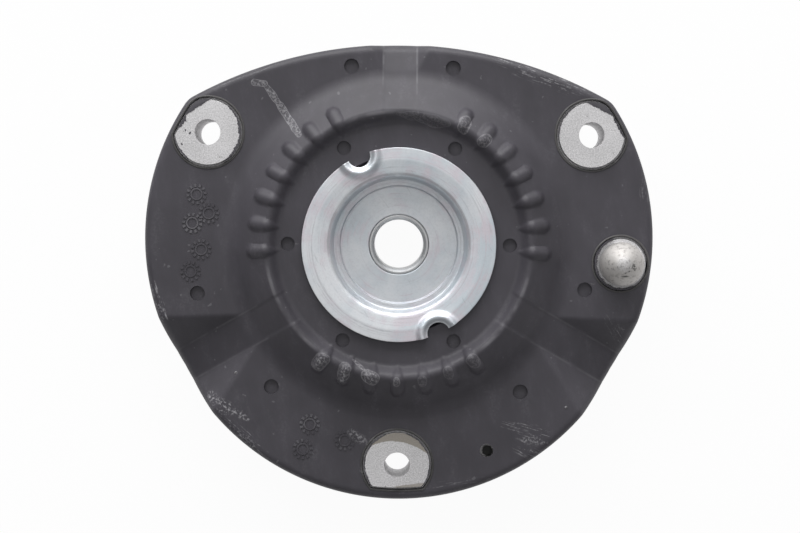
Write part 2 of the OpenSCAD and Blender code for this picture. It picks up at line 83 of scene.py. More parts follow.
class Bench:
    """Hand tools for selecting, spinning, cutting and finishing pieces."""

    @staticmethod
    def clear() -> None:
        """Leaves edit mode and deselects everything."""
        if bpy.context.object and bpy.context.object.mode != "OBJECT":
            bpy.ops.object.mode_set(mode="OBJECT")
        bpy.ops.object.select_all(action="DESELECT")

    @classmethod
    def pick(cls, obj: Piece) -> None:
        """Makes obj the only selected and active object."""
        cls.clear()
        obj.select_set(True)
        bpy.context.view_layer.objects.active = obj

    @staticmethod
    def take(name: str) -> Piece:
        """Names the object that the last operator made and returns it."""
        obj = bpy.context.object
        obj.name = name
        obj.data.name = name
        return obj

    @staticmethod
    def read(obj: Piece) -> np.ndarray:
        """Returns the vertex places as an array of rows."""
        flat = np.empty(3 * len(obj.data.vertices))
        obj.data.vertices.foreach_get("co", flat)
        return flat.reshape(-1, 3)

    @staticmethod
    def write(obj: Piece, places: np.ndarray) -> None:
        """Moves the vertices to the given places."""
        obj.data.vertices.foreach_set("co", places.ravel())
        obj.data.update()

    @staticmethod
    @contextmanager
    def editing() -> Iterator[None]:
        """Edits the whole mesh of the active object."""
        bpy.ops.object.mode_set(mode="EDIT")
        bpy.ops.mesh.select_all(action="SELECT")
        yield
        bpy.ops.object.mode_set(mode="OBJECT")

    @classmethod
    def apply(cls, obj: Piece, kind: str, **settings: object) -> None:
        """Adds a modifier with the given settings to obj and applies it."""
        cls.pick(obj)
        mod = obj.modifiers.new(kind.lower(), kind)
        for key, value in settings.items():
            setattr(mod, key, value)
        bpy.ops.object.modifier_apply(modifier=mod.name)

    @classmethod
    def mend(cls, obj: Piece) -> None:
        """Merges doubles and turns the faces outwards."""
        cls.pick(obj)
        with cls.editing():
            bpy.ops.mesh.remove_doubles(threshold=MERGE)
            bpy.ops.mesh.normals_make_consistent(inside=False)

    @classmethod
    def spin(cls, name: str, section: Sequence[Point], steps: int) -> Piece:
        """Spins a closed section round the rod axis.

        Args:
            name: name of the new piece.
            section: corners of the section as (radius, height), in millimetres.
            steps: number of steps in the full turn.

        Returns:
            The spun piece, whose vertices run through the section once for each step.
        """
        cls.clear()
        bpy.ops.mesh.primitive_circle_add(vertices=len(section), radius=MM, fill_type="NOTHING")
        obj = cls.take(name)
        cls.write(obj, np.array([[r * MM, 0.0, z * MM] for r, z in section]))
        with cls.editing():
            bpy.ops.mesh.spin(steps=steps, angle=2 * math.pi, center=(0, 0, 0), axis=(0, 0, 1))
        cls.mend(obj)
        return obj

    @classmethod
    def prism(cls, name: str, plan: Sequence[Point], low: float, high: float) -> Piece:
        """Extrudes a plan, in millimetres, from one height to another and returns the solid."""
        cls.clear()
        bpy.ops.mesh.primitive_circle_add(vertices=len(plan), radius=MM, fill_type="NGON")
        obj = cls.take(name)
        cls.write(obj, np.array([[x * MM, y * MM, low * MM] for x, y in plan]))
        with cls.editing():
            bpy.ops.mesh.extrude_region_move(TRANSFORM_OT_translate={"value": (0, 0, (high - low) * MM)})
        cls.mend(obj)
        return obj

    @classmethod
    def join(cls, parts: Sequence[Piece], name: str) -> Piece:
        """Joins parts into one object and returns it."""
        cls.clear()
        for part in parts:
            part.select_set(True)
        bpy.context.view_layer.objects.active = parts[0]
        if len(parts) > 1:
            bpy.ops.object.join()
        return cls.take(name)

    @classmethod
    def cut(cls, obj: Piece, tool: Piece) -> None:
        """Cuts tool out of obj and deletes tool."""
        cls.apply(obj, "BOOLEAN", operation="DIFFERENCE", object=tool, solver="MANIFOLD")
        bpy.data.objects.remove(tool, do_unlink=True)

    @classmethod
    def soften(cls, obj: Piece, width: float, angle: float, segments: int) -> None:
        """Bevels the sharp edges of obj.

        Args:
            obj: the piece.
            width: bevel width in millimetres.
            angle: edges sharper than this many degrees are bevelled.
            segments: steps across the bevel.
        """
        cls.apply(obj, "BEVEL", width=width * MM, segments=segments, limit_method="ANGLE",
                  angle_limit=math.radians(angle), harden_normals=False, use_clamp_overlap=True)

    @classmethod
    def smooth(cls, obj: Piece, angle: float) -> None:
        """Shades obj smooth below an angle in degrees."""
        cls.pick(obj)
        bpy.ops.object.shade_smooth_by_angle(angle=math.radians(angle))

    @classmethod
    def level(cls, obj: Piece) -> None:
        """Weights the normals by face size, so that flat faces beside rounded edges stay flat."""
        cls.apply(obj, "WEIGHTED_NORMAL", keep_sharp=True)

    @classmethod
    def copy_node(cls, node: str, name: str) -> Piece:
        """Returns a merged copy of a CAD node's mesh as a new piece."""
        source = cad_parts[node]
        obj = bpy.data.objects.new(name, source.data.copy())
        bpy.context.scene.collection.objects.link(obj)
        cls.pick(obj)
        if obj.data.has_custom_normals:
            bpy.ops.mesh.customdata_custom_splitnormals_clear()
        with cls.editing():
            bpy.ops.mesh.remove_doubles(threshold=MERGE)
            bpy.ops.mesh.dissolve_limited(angle_limit=math.radians(0.2))
        return obj

    @classmethod
    def finish(cls, obj: Piece, material: Finish, slot: Slot, *nodes: str) -> None:
        """Dresses a piece, puts it on the body and reports it.

        Args:
            obj: the piece.
            material: its finish.
            slot: not used.
            nodes: CAD nodes that the piece stands for.
        """
        obj.data.materials.clear()
        obj.data.materials.append(material)
        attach(obj, "root")
        if nodes:
            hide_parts(*nodes)
        log.info("%s: %d faces", obj.name, len(obj.data.polygons))


def circle(centre: Sequence[float], radius: float, count: int) -> np.ndarray:
    """Returns evenly spaced points round a centre."""
    turn = np.linspace(0, 2 * math.pi, count, endpoint=False)
    return np.array(centre) + radius * np.stack([np.cos(turn), np.sin(turn)], -1)


def rounded(corners: Sequence[Triple], step: float, arc_steps: int = 6) -> list[Point]:
    """Rounds the corners of a closed section and divides its long sides.

    Args:
        corners: (radius, height, rounding) of each corner in turn.
        step: longest side that is left undivided.
        arc_steps: points on each rounded corner.

    Returns:
        The section's points.
    """
    line: list[np.ndarray] = []
    count = len(corners)
    for i, (r, z, fillet) in enumerate(corners):
        here = np.array([r, z])
        before = np.array(corners[i - 1][:2]) - here
        after = np.array(corners[(i + 1) % count][:2]) - here
        before, after = before / np.linalg.norm(before), after / np.linalg.norm(after)
        half = math.acos(float(np.clip(before @ after, -1, 1))) / 2
        if fillet <= 0 or half > math.radians(89):
            line.append(here)
            continue
        reach = fillet / math.tan(half)
        middle = (before + after) / np.linalg.norm(before + after)
        centre = here + middle * fillet / math.sin(half)
        start, end = here + before * reach - centre, here + after * reach - centre
        turn = math.atan2(start[0] * end[1] - start[1] * end[0], float(start @ end))
        for k in range(arc_steps + 1):
            c, n = math.cos(turn * k / arc_steps), math.sin(turn * k / arc_steps)
            line.append(centre + np.array([start[0] * c - start[1] * n, start[0] * n + start[1] * c]))
    points: list[Point] = []
    for i, here in enumerate(line):
        gap = line[(i + 1) % len(line)] - here
        parts = max(1, math.ceil(float(np.linalg.norm(gap)) / step))
        points += [tuple(here + gap * k / parts) for k in range(parts)]
    return points


def soft_max(a: np.ndarray, b: np.ndarray, blend: float) -> np.ndarray:
    """Returns the larger of a and b with a fillet of about that size between them."""
    h = np.clip(blend - np.abs(a - b), 0, None) / blend
    return np.maximum(a, b) + h * h * blend / 4


def soft_min(a: np.ndarray, b: np.ndarray, blend: float) -> np.ndarray:
    """Returns the smaller of a and b with a rounding of about that size between them."""
    return -soft_max(-a, -b, blend)


@dataclass(frozen=True)
class MouldForm:
    """Outline and upper side of the rubber moulding, in millimetres and degrees."""

    section_r: float = 84.0
    body_r: float = 85.2
    lobe_shift: float = 4.0
    top_reach: float = 66.4
    top_arc_r: float = 143.0
    corner_r: float = 8.0
    lobe_z: float = -1.0
    groove_z: float = 4.7
    crest_r: float = 43.84
    crest_z: float = 8.0
    crest_round: float = 2.0
    inner_slope: float = 52.0
    outer_slope: float = 38.0
    channel_start: float = 57.3
    channel_w: float = 11.0
    channel_fall: float = 20.0
    channel_wall: float = 35.0
    channel_bite: float = 0.3
    rib_in_r: float = 39.2
    rib_out_r: float = 50.4
    rib_w: float = 5.0
    rib_h: float = 1.7
    rib_pitch: float = 11.0
    ribs_in_group: int = 7
    bolt_circle_r: float = 73.5
    pad_r: float = 10.8
    pad_inset: float = 2.6
    lower_pad_inset: float = 4.2
    pin_at: Point = (73.772, -5.806)
    bolt_angles: tuple[float, ...] = (30.0, 150.0, 270.0)
    channel_angles: tuple[float, ...] = (90.0, 210.0, 330.0)

    def reach(self, angle: np.ndarray) -> np.ndarray:
        """Returns the outline's distance from the rod axis along bearings in radians."""
        arc_r = self.body_r - self.lobe_shift
        upper = self.lobe_shift * np.array([math.cos(math.radians(30)), 0.5])
        lower = self.lobe_shift * np.array([0.0, -1.0])
        top = np.array([0.0, self.top_reach - self.top_arc_r])
        way, near, far = top - upper, arc_r - self.corner_r, self.top_arc_r - self.corner_r
        gap = float(np.linalg.norm(way))
        along = (near ** 2 - far ** 2 + gap ** 2) / (2 * gap)
        aside = math.sqrt(near ** 2 - along ** 2)
        centre = upper + (along * way + aside * np.array([-way[1], way[0]])) / gap
        start = upper + (centre - upper) / near * arc_r
        end = top + (centre - top) / far * self.top_arc_r
        bearing = np.arctan2(np.sin(angle), np.abs(np.cos(angle)))
        ray = np.stack([np.cos(bearing), np.sin(bearing)], -1)

        def far_side(middle: np.ndarray, radius: float) -> np.ndarray:
            """Distance along each ray to the far side of a circle."""
            to = ray @ middle
            return to + np.sqrt(np.clip(to ** 2 - middle @ middle + radius ** 2, 0, None))

        out = np.where(bearing < math.radians(-30), far_side(lower, arc_r), far_side(upper, arc_r))
        out = np.where(bearing > math.atan2(start[1], start[0]), far_side(centre, self.corner_r), out)
        return np.where(bearing > math.atan2(end[1], end[0]), far_side(top, self.top_arc_r), out)

    def crown(self, r: np.ndarray) -> np.ndarray:
        """Returns the height of the crown's two slopes and crest at a radius."""
        c = self.crest_z - self.crest_round
        a, b = math.radians(self.inner_slope), math.radians(self.outer_slope)
        r1, z1 = self.crest_r - self.crest_round * math.sin(a), c + self.crest_round * math.cos(a)
        r2, z2 = self.crest_r + self.crest_round * math.sin(b), c + self.crest_round * math.cos(b)
        crest = c + np.sqrt(np.clip(self.crest_round ** 2 - (r - self.crest_r) ** 2, 0, None))
        inner = z1 + (r - r1) * math.tan(a)
        outer = z2 - (r - r2) * math.tan(b)
        return np.where(r < r1, inner, np.where(r > r2, outer, crest))

    def channels(self, x: np.ndarray, y: np.ndarray, crown: np.ndarray) -> np.ndarray:
        """Returns the height of the lowest channel over a place, with its straight bite into the crown."""
        low = np.full_like(x, 99.0)
        for bearing in self.channel_angles:
            c, s = math.cos(math.radians(bearing)), math.sin(math.radians(bearing))
            out, side = x * c + y * s, np.abs(y * c - x * s) - self.channel_w / 2
            floor = self.lobe_z - (out - self.channel_start) * math.tan(math.radians(self.channel_fall))
            wall = soft_max(floor, floor + side * math.tan(math.radians(self.channel_wall)), 0.3)
            bite = crown - self.channel_bite + np.clip(side + 0.4, 0, None)
            low = np.where(out > 0, np.minimum(low, soft_max(wall, bite, 0.6)), low)
        return low

    def ribs(self, r: np.ndarray, angle: np.ndarray) -> np.ndarray:
        """Returns how far the drop-shaped ribs stand over the crown."""
        lift = np.zeros_like(r)
        end = self.rib_out_r - self.rib_w / 2
        back = np.clip((end - r) / (end - self.rib_in_r), 0, 1)
        cap = np.sqrt(np.clip((self.rib_w / 2) ** 2 - (r - end) ** 2, 0, None))
        half = np.where(r > end, cap, self.rib_w / 2 * (1 - back ** 2) ** 0.8) + 1e-9
        blunt = np.clip((self.rib_out_r - r) / 1.2, 0, 1) ** 0.5
        fade = np.clip(1 - 0.7 * back, 0, 1) * (1 - back ** 6) * blunt
        for bearing in self.bolt_angles:
            for k in range(self.ribs_in_group):
                mid = math.radians(bearing + (k - (self.ribs_in_group - 1) / 2) * self.rib_pitch)
                across = np.abs(np.angle(np.exp(1j * (angle - mid)))) * r / half
                drop = self.rib_h * fade * np.clip(1 - across ** 2, 0, None) ** 0.85
                lift = np.maximum(lift, np.where(across < 1, drop, 0))
        return lift

    def top(self, x: np.ndarray, y: np.ndarray) -> np.ndarray:
        """Returns the height of the rubber's upper side over a place."""
        r, angle = np.hypot(x, y), np.arctan2(y, x)
        crown = self.crown(r)
        base = np.where(r < self.crest_r, self.groove_z, self.lobe_z)
        blend = np.where(r < self.crest_r, 1.0, 2.2)
        land = soft_max(crown, base, blend)
        return soft_min(land, self.channels(x, y, crown), 0.3) + self.ribs(r, angle)

    def bolt(self, bearing: float) -> np.ndarray:
        """Returns the place of the bolt hole on a bearing in degrees."""
        a = math.radians(bearing)
        return self.bolt_circle_r * np.array([math.cos(a), math.sin(a)])

    def pad_plan(self, bearing: float, grow: float, count: int) -> np.ndarray:
        """Returns a pad's plan: a round cut back along the outline.

        Args:
            bearing: bearing of the pad's bolt hole in degrees.
            grow: distance that the plan is grown all round.
            count: number of points.

        Returns:
            The points of the plan in turn.
        """
        hole = self.bolt(bearing)
        edge = self.pad_r + grow
        inset = (self.lower_pad_inset if bearing == self.bolt_angles[2] else self.pad_inset) - grow
        turn = np.linspace(0, 2 * math.pi, count, endpoint=False)
        ray = np.stack([np.cos(turn), np.sin(turn)], -1)
        low, high = np.zeros(count), np.full(count, edge)
        for _ in range(30):
            mid = (low + high) / 2
            p = hole + ray * mid[:, None]
            inside = self.reach(np.arctan2(p[:, 1], p[:, 0])) - np.hypot(p[:, 0], p[:, 1]) > inset
            low, high = np.where(inside, mid, low), np.where(inside, high, mid)
        return hole + ray * np.where(low > edge - 1e-4, edge, low)[:, None]


class Sock:
    """A node socket that takes part in Python arithmetic."""

    def __init__(self, shader: "Shader", socket: bpy.types.NodeSocket) -> None:
        """Wraps one output socket of a shader's node."""
        self.shader = shader
        self.socket = socket

    def math(self, operation: str, *others: Number) -> "Sock":
        """Adds a Math node on this value and others and returns its result."""
        return self.shader.node("ShaderNodeMath", {"operation": operation}, dict(enumerate((self, *others))))

    def flipped(self, operation: str, other: Number) -> "Sock":
        """Adds a Math node with this value as the second operand."""
        return self.shader.node("ShaderNodeMath", {"operation": operation}, {0: other, 1: self})

    def __add__(self, other: Number) -> "Sock":
        """Sum."""
        return self.math("ADD", other)

    def __sub__(self, other: Number) -> "Sock":
        """Difference."""
        return self.math("SUBTRACT", other)

    def __mul__(self, other: Number) -> "Sock":
        """Product."""
        return self.math("MULTIPLY", other)

    def __truediv__(self, other: Number) -> "Sock":
        """Quotient."""
        return self.math("DIVIDE", other)

    def __pow__(self, other: Number) -> "Sock":
        """Power."""
        return self.math("POWER", other)

    def __radd__(self, other: float) -> "Sock":
        """Sum with a number first."""
        return self.flipped("ADD", other)

    def __rsub__(self, other: float) -> "Sock":
        """Difference from a number."""
        return self.flipped("SUBTRACT", other)

    def __rmul__(self, other: float) -> "Sock":
        """Product with a number first."""
        return self.flipped("MULTIPLY", other)

    def __rtruediv__(self, other: float) -> "Sock":
        """Quotient of a number."""
        return self.flipped("DIVIDE", other)

    def least(self, other: Number) -> "Sock":
        """Smaller of two values."""
        return self.math("MINIMUM", other)

    def most(self, other: Number) -> "Sock":
        """Larger of two values."""
        return self.math("MAXIMUM", other)

    def hypot(self, other: "Sock") -> "Sock":
        """Length of a line with these two sides."""
        return (self * self + other * other) ** 0.5

    def step(self, low: float, high: float) -> "Sock":
        """Smooth step from 0 at low to 1 at high."""
        inputs = {0: self, 1: low, 2: high, 3: 0.0, 4: 1.0}
        return self.shader.node("ShaderNodeMapRange", {"interpolation_type": "SMOOTHSTEP"}, inputs)


class Shader:
    """A material's node tree, built node by node."""

    def __init__(self, name: str) -> None:
        """Makes an empty material with a Principled shader."""
        self.material = bpy.data.materials.new(name)
        self.material.use_nodes = True
        self.tree = self.material.node_tree
        self.tree.nodes.clear()
        self.out = self.tree.nodes.new("ShaderNodeOutputMaterial")
        self.skin = self.tree.nodes.new("ShaderNodeBsdfPrincipled")
        self.tree.links.new(self.skin.outputs[0], self.out.inputs[0])
        self.place = self.node("ShaderNodeTexCoord", {}, {}, "Object")

    def node(self, kind: str, settings: dict, inputs: dict, out: Union[int, str] = 0) -> Sock:
        """Adds one node.

        Args:
            kind: type of the node.
            settings: properties that are set first.
            inputs: values or links of its input sockets, by name or number.
            out: output socket that is wanted.

        Returns:
            That output, ready for arithmetic.
        """
        node = self.tree.nodes.new(kind)
        for key, value in settings.items():
            setattr(node, key, value)
        for key, value in inputs.items():
            self.plug(node.inputs[key], value)
        return Sock(self, node.outputs[out])

    def plug(self, socket: bpy.types.NodeSocket, value: object) -> None:
        """Links or sets one input socket."""
        if isinstance(value, Sock):
            self.tree.links.new(value.socket, socket)
        else:
            socket.default_value = value

    def noise(self, scale: float, detail: float, rough: float, at: Optional[Sock] = None) -> Sock:
        """Returns a noise value, with the scale in waves to the metre."""
        inputs = {"Vector": at or self.place, "Scale": scale, "Detail": detail, "Roughness": rough}
        return self.node("ShaderNodeTexNoise", {}, inputs)

    def stretched(self, scale: Sequence[float], turn: float) -> Sock:
        """Returns coordinates turned about Z by degrees, then stretched, for streaks."""
        return self.node(
            "ShaderNodeMapping", {"vector_type": "TEXTURE"},
            {"Vector": self.place, "Rotation": (0.0, 0.0, math.radians(turn)), "Scale": tuple(scale)})

    def mix(self, a: object, b: object, share: Number) -> Sock:
        """Mixes two colours."""
        return self.node("ShaderNodeMix", {"data_type": "RGBA"}, {0: share, 6: a, 7: b}, 2)

    def axes(self) -> tuple[Sock, Sock, Sock]:
        """Returns the place's three coordinates in millimetres."""
        split = self.node("ShaderNodeSeparateXYZ", {}, {0: self.place})
        return tuple(Sock(self, s) * 1000.0 for s in split.socket.node.outputs)

    def bump(self, height: Sock, distance: float, strength: float) -> Sock:
        """Returns a normal bumped by a height, with its distance in millimetres."""
        inputs = {"Strength": strength, "Distance": distance * MM, "Height": height}
        return self.node("ShaderNodeBump", {}, inputs)

    def dress(self, **sockets: object) -> Finish:
        """Sets the Principled shader's sockets, by name with _ for a space, and returns the material."""
        for name, value in sockets.items():
            self.plug(self.skin.inputs[name.replace("_", " ")], value)
        return self.material


class Mark(Enum):
    """Kinds of rubbed marks on the rubber."""

    DRIED = "dried smear with a pale border"
    SPECKLE = "ragged patch of chalky specks"
    SCRATCH = "fine parallel scratches"


@dataclass(frozen=True)
class Scuff:
    """A rubbed mark on the rubber, from one place to another, in millimetres."""

    kind: Mark
    start: Point
    end: Point
    half_w: float
    power: float

    def mask(self, shader: Shader, x: Sock, y: Sock, rag: Sock, mottle: Sock) -> Sock:
        """Returns the mark's strength.

        Args:
            shader: the rubber's shader.
            x: place along X in millimetres.
            y: place along Y in millimetres.
            rag: noise that makes the border ragged.
            mottle: noise that breaks up the inside.

        Returns:
            A value from 0 outside the mark to its power.
        """
        dx, dy = self.end[0] - self.start[0], self.end[1] - self.start[1]
        size = math.hypot(dx, dy)
        px, py = x - self.start[0], y - self.start[1]
        along = (px * (dx / size) + py * (dy / size)).most(0.0).least(size)
        qx, qy = px - along * (dx / size), py - along * (dy / size)
        w = self.half_w
        swell = (along * (math.pi / size)).math("SINE") * 0.4 + 0.6 if size > 3 * w else 1.0
        uneven = 2.6 if self.kind is Mark.SPECKLE else 1.3
        far = (qx.hypot(qy) + (rag - 0.5) * (uneven * w)) / swell
        fill = 1.0 - far.step(0.85 * w, w)
        if self.kind is Mark.SPECKLE:
            return (1.0 - far.step(0.0, w)) * (mottle * 0.8 + rag * 0.2).step(0.47, 0.6) * self.power
        if self.kind is Mark.DRIED:
            border = far.step(0.72 * w, 0.9 * w) * fill
            curls = 1.0 - (shader.noise(520.0, 1.0, 0.5) - 0.5).math("ABSOLUTE").step(0.01, 0.05)
            inside = curls * 0.4 + mottle.step(0.48, 0.62) * 0.55 + 0.08
            border = border * (mottle.step(0.3, 0.55) * 0.6 + 0.35)
            return (fill * inside).most(border).least(1.0) * self.power
        across = py * (dx / size) - px * (dy / size)
        lines = shader.node("ShaderNodeCombineXYZ", {}, {0: along * 0.16, 1: across * 1.8, 2: self.start[0]})
        streak = shader.noise(1.0, 3.0, 0.65, lines)
        return (1.0 - far.step(0.2 * w, w)) * (streak * 0.75 + mottle * 0.25).step(0.52, 0.64) * self.power


@dataclass(frozen=True)
class RubberFinish:
    """Matt moulded rubber: bloom, grain, worn edges, chalky smears and scratches, and a pale crest line that
    is partly painted highlight.
    """

    name: str = "moulded_rubber"
    deep: tuple = (0.040, 0.0372, 0.0445, 1)
    bloom: tuple = (0.063, 0.0590, 0.0705, 1)
    chalk: tuple = (0.30, 0.295, 0.31, 1)
    crest_r: float = 44.2
    crease_at: float = 5.6
    crown_r: float = 50.0
    scuffs: tuple[Scuff, ...] = (
        Scuff(Mark.DRIED, (-48.3, 53.3), (-44.9, 52.9), 1.2, 0.8),
        Scuff(Mark.DRIED, (-44.9, 52.9), (-40.4, 46.6), 1.5, 0.8),
        Scuff(Mark.DRIED, (-40.4, 46.6), (-33.2, 36.1), 1.6, 0.9),
        Scuff(Mark.DRIED, (-0.5, 43.0), (6.0, 42.0), 1.5, 0.3),
        Scuff(Mark.DRIED, (6.0, 42.0), (16.0, 39.8), 2.0, 0.3),
        Scuff(Mark.DRIED, (20.9, 38.8), (21.3, 40.2), 2.4, 0.6),
        Scuff(Mark.DRIED, (27.4, 33.8), (28.2, 34.6), 2.0, 0.6),
        Scuff(Mark.DRIED, (-25.0, -37.8), (-26.2, -39.2), 2.4, 0.5),
        Scuff(Mark.SPECKLE, (-25.0, -37.8), (-26.4, -39.0), 2.2, 0.9),
        Scuff(Mark.DRIED, (-17.2, -40.6), (-17.9, -42.8), 2.2, 0.45),
        Scuff(Mark.SPECKLE, (-17.4, -41.0), (-18.6, -45.0), 1.8, 0.8),
        Scuff(Mark.DRIED, (-14.9, -37.9), (-10.8, -41.3), 0.6, 0.7),
        Scuff(Mark.DRIED, (-10.0, -43.0), (-8.6, -44.0), 2.3, 0.6),
        Scuff(Mark.SPECKLE, (-10.0, -43.0), (-8.6, -44.0), 2.1, 1.0),
        Scuff(Mark.DRIED, (-0.5, -44.4), (-0.4, -45.2), 1.5, 0.6),
        Scuff(Mark.DRIED, (8.0, -44.4), (8.1, -45.2), 1.4, 0.35),
        Scuff(Mark.DRIED, (16.6, -41.6), (16.9, -42.6), 1.7, 0.28),
        Scuff(Mark.DRIED, (24.4, -37.6), (25.2, -38.8), 2.0, 0.3),
        Scuff(Mark.SPECKLE, (-15.4, -62.6), (-10.6, -66.2), 2.2, 0.7),
        Scuff(Mark.SPECKLE, (-12.0, -75.0), (-7.0, -80.4), 1.2, 0.5),
        Scuff(Mark.SCRATCH, (34.0, 60.6), (62.0, 50.4), 3.8, 0.8),
        Scuff(Mark.SCRATCH, (-66.0, 50.0), (-36.0, 62.5), 2.0, 0.32),
        Scuff(Mark.SCRATCH, (-81.4, -14.0), (-77.6, -25.0), 2.6, 0.8),
        Scuff(Mark.SPECKLE, (-80.6, -20.0), (-78.4, -26.0), 1.8, 0.6),
        Scuff(Mark.SPECKLE, (-62.4, -51.6), (-57.0, -54.4), 2.6, 1.0),
        Scuff(Mark.SPECKLE, (-57.0, -54.4), (-50.0, -58.8), 1.7, 0.8),
        Scuff(Mark.SPECKLE, (-56.0, -60.4), (-48.0, -67.6), 1.3, 0.7),
        Scuff(Mark.SCRATCH, (-60.0, -56.0), (-44.0, -70.0), 2.6, 0.5),
        Scuff(Mark.SCRATCH, (36.0, -59.4), (49.0, -63.0), 3.6, 0.75),
        Scuff(Mark.SPECKLE, (43.0, -65.0), (49.0, -65.4), 2.0, 0.6),
        Scuff(Mark.SCRATCH, (40.4, -66.8), (46.6, -69.6), 3.0, 0.8),
        # Bright dots at the two nubs: painted highlight of the nubs.
        Scuff(Mark.DRIED, (-54.0, -43.2), (-53.9, -43.2), 0.5, 1.0),
        Scuff(Mark.DRIED, (56.1, -53.8), (56.2, -53.8), 0.5, 1.0),
        Scuff(Mark.SCRATCH, (70.0, -24.4), (77.5, -35.0), 3.0, 0.45),
        Scuff(Mark.SCRATCH, (80.6, 25.0), (82.6, 8.0), 2.0, 0.35),
        Scuff(Mark.SCRATCH, (-3.0, -83.0), (30.0, -78.0), 2.0, 0.3),
    )

    def creases(self, x: Sock, y: Sock, rag: Sock) -> Sock:
        """Returns pale lines along both sides of the channels' floors, strongest on the flattened side."""
        lines: Optional[Sock] = None
        for bearing, power in ((90.0, 0.2), (210.0, 0.09), (330.0, 0.09)):
            c, n = math.cos(math.radians(bearing)), math.sin(math.radians(bearing))
            side = (y * c - x * n).math("ABSOLUTE")
            line = 1.0 - (side - self.crease_at).math("ABSOLUTE").step(0.1, 0.5)
            line = line * (x * c + y * n).step(49.0, 51.0) * rag.step(0.35, 0.6) * power
            lines = line if lines is None else lines.most(line)
        return lines

    def build(self) -> Finish:
        """Returns the material."""
        s = Shader(self.name)
        x, y, z = s.axes()
        cloud = s.noise(22.0, 4.0, 0.6)
        blotch = s.noise(90.0, 3.0, 0.55)
        grain = s.noise(2600.0, 2.0, 0.6)
        fine = s.noise(900.0, 3.0, 0.6)
        rag = s.noise(150.0, 2.0, 0.5)
        mottle = s.noise(1300.0, 3.0, 0.6)
        rubbed: Optional[Sock] = None
        for scuff in self.scuffs:
            mask = scuff.mask(s, x, y, rag, mottle)
            rubbed = mask if rubbed is None else rubbed.most(mask)
        edge = s.node("ShaderNodeNewGeometry", {}, {}, "Pointiness").step(0.53, 0.60)
        r = x.hypot(y)
        rubbed = rubbed * r.step(self.crown_r, self.crown_r + 1.0).most(z.step(1.0, 2.0))
        # Pale line along the crown's crest between the rib groups: partly crest wear, partly a painted
        # highlight of the crest's edge.
        between = (y.math("ARCTAN2", x) * 3.0 - 1.5 * math.pi).math("COSINE").step(0.25, 0.7)
        crest = 1.0 - (r - self.crest_r + cloud).math("ABSOLUTE").step(0.2, 0.9)
        crest = crest * blotch.step(0.36, 0.6) * between * 0.26
        # worn gathers edge wear, the crease lines and the crest line, whose painted highlight it carries too.
        worn = (edge * blotch.step(0.38, 0.7) * 0.25).most(crest).most(self.creases(x, y, rag))
        specks = s.noise(420.0, 1.0, 0.5).step(0.75, 0.80) * 0.2
        haze = s.noise(160.0, 4.0, 0.7, s.stretched((1.0, 2.5, 1.0), 8.0))
        specks = specks.most(haze.step(0.5, 0.74) * mottle.step(0.4, 0.62) * 0.07)
        dust = cloud.step(0.34, 0.66) * 0.5 + haze.step(0.3, 0.7) * 0.3 + blotch * 0.2
        base = s.mix(self.deep, self.bloom, dust)
        base = s.mix(base, self.chalk, rubbed.most(worn).most(specks).least(1.0))
        rough = 0.46 + blotch * 0.12 + rubbed * 0.2
        normal = s.bump(grain * 0.4 + fine + rubbed * 0.8, 0.035, 0.35)
        return s.dress(Base_Color=base, Roughness=rough, Normal=normal, Specular_IOR_Level=0.42)


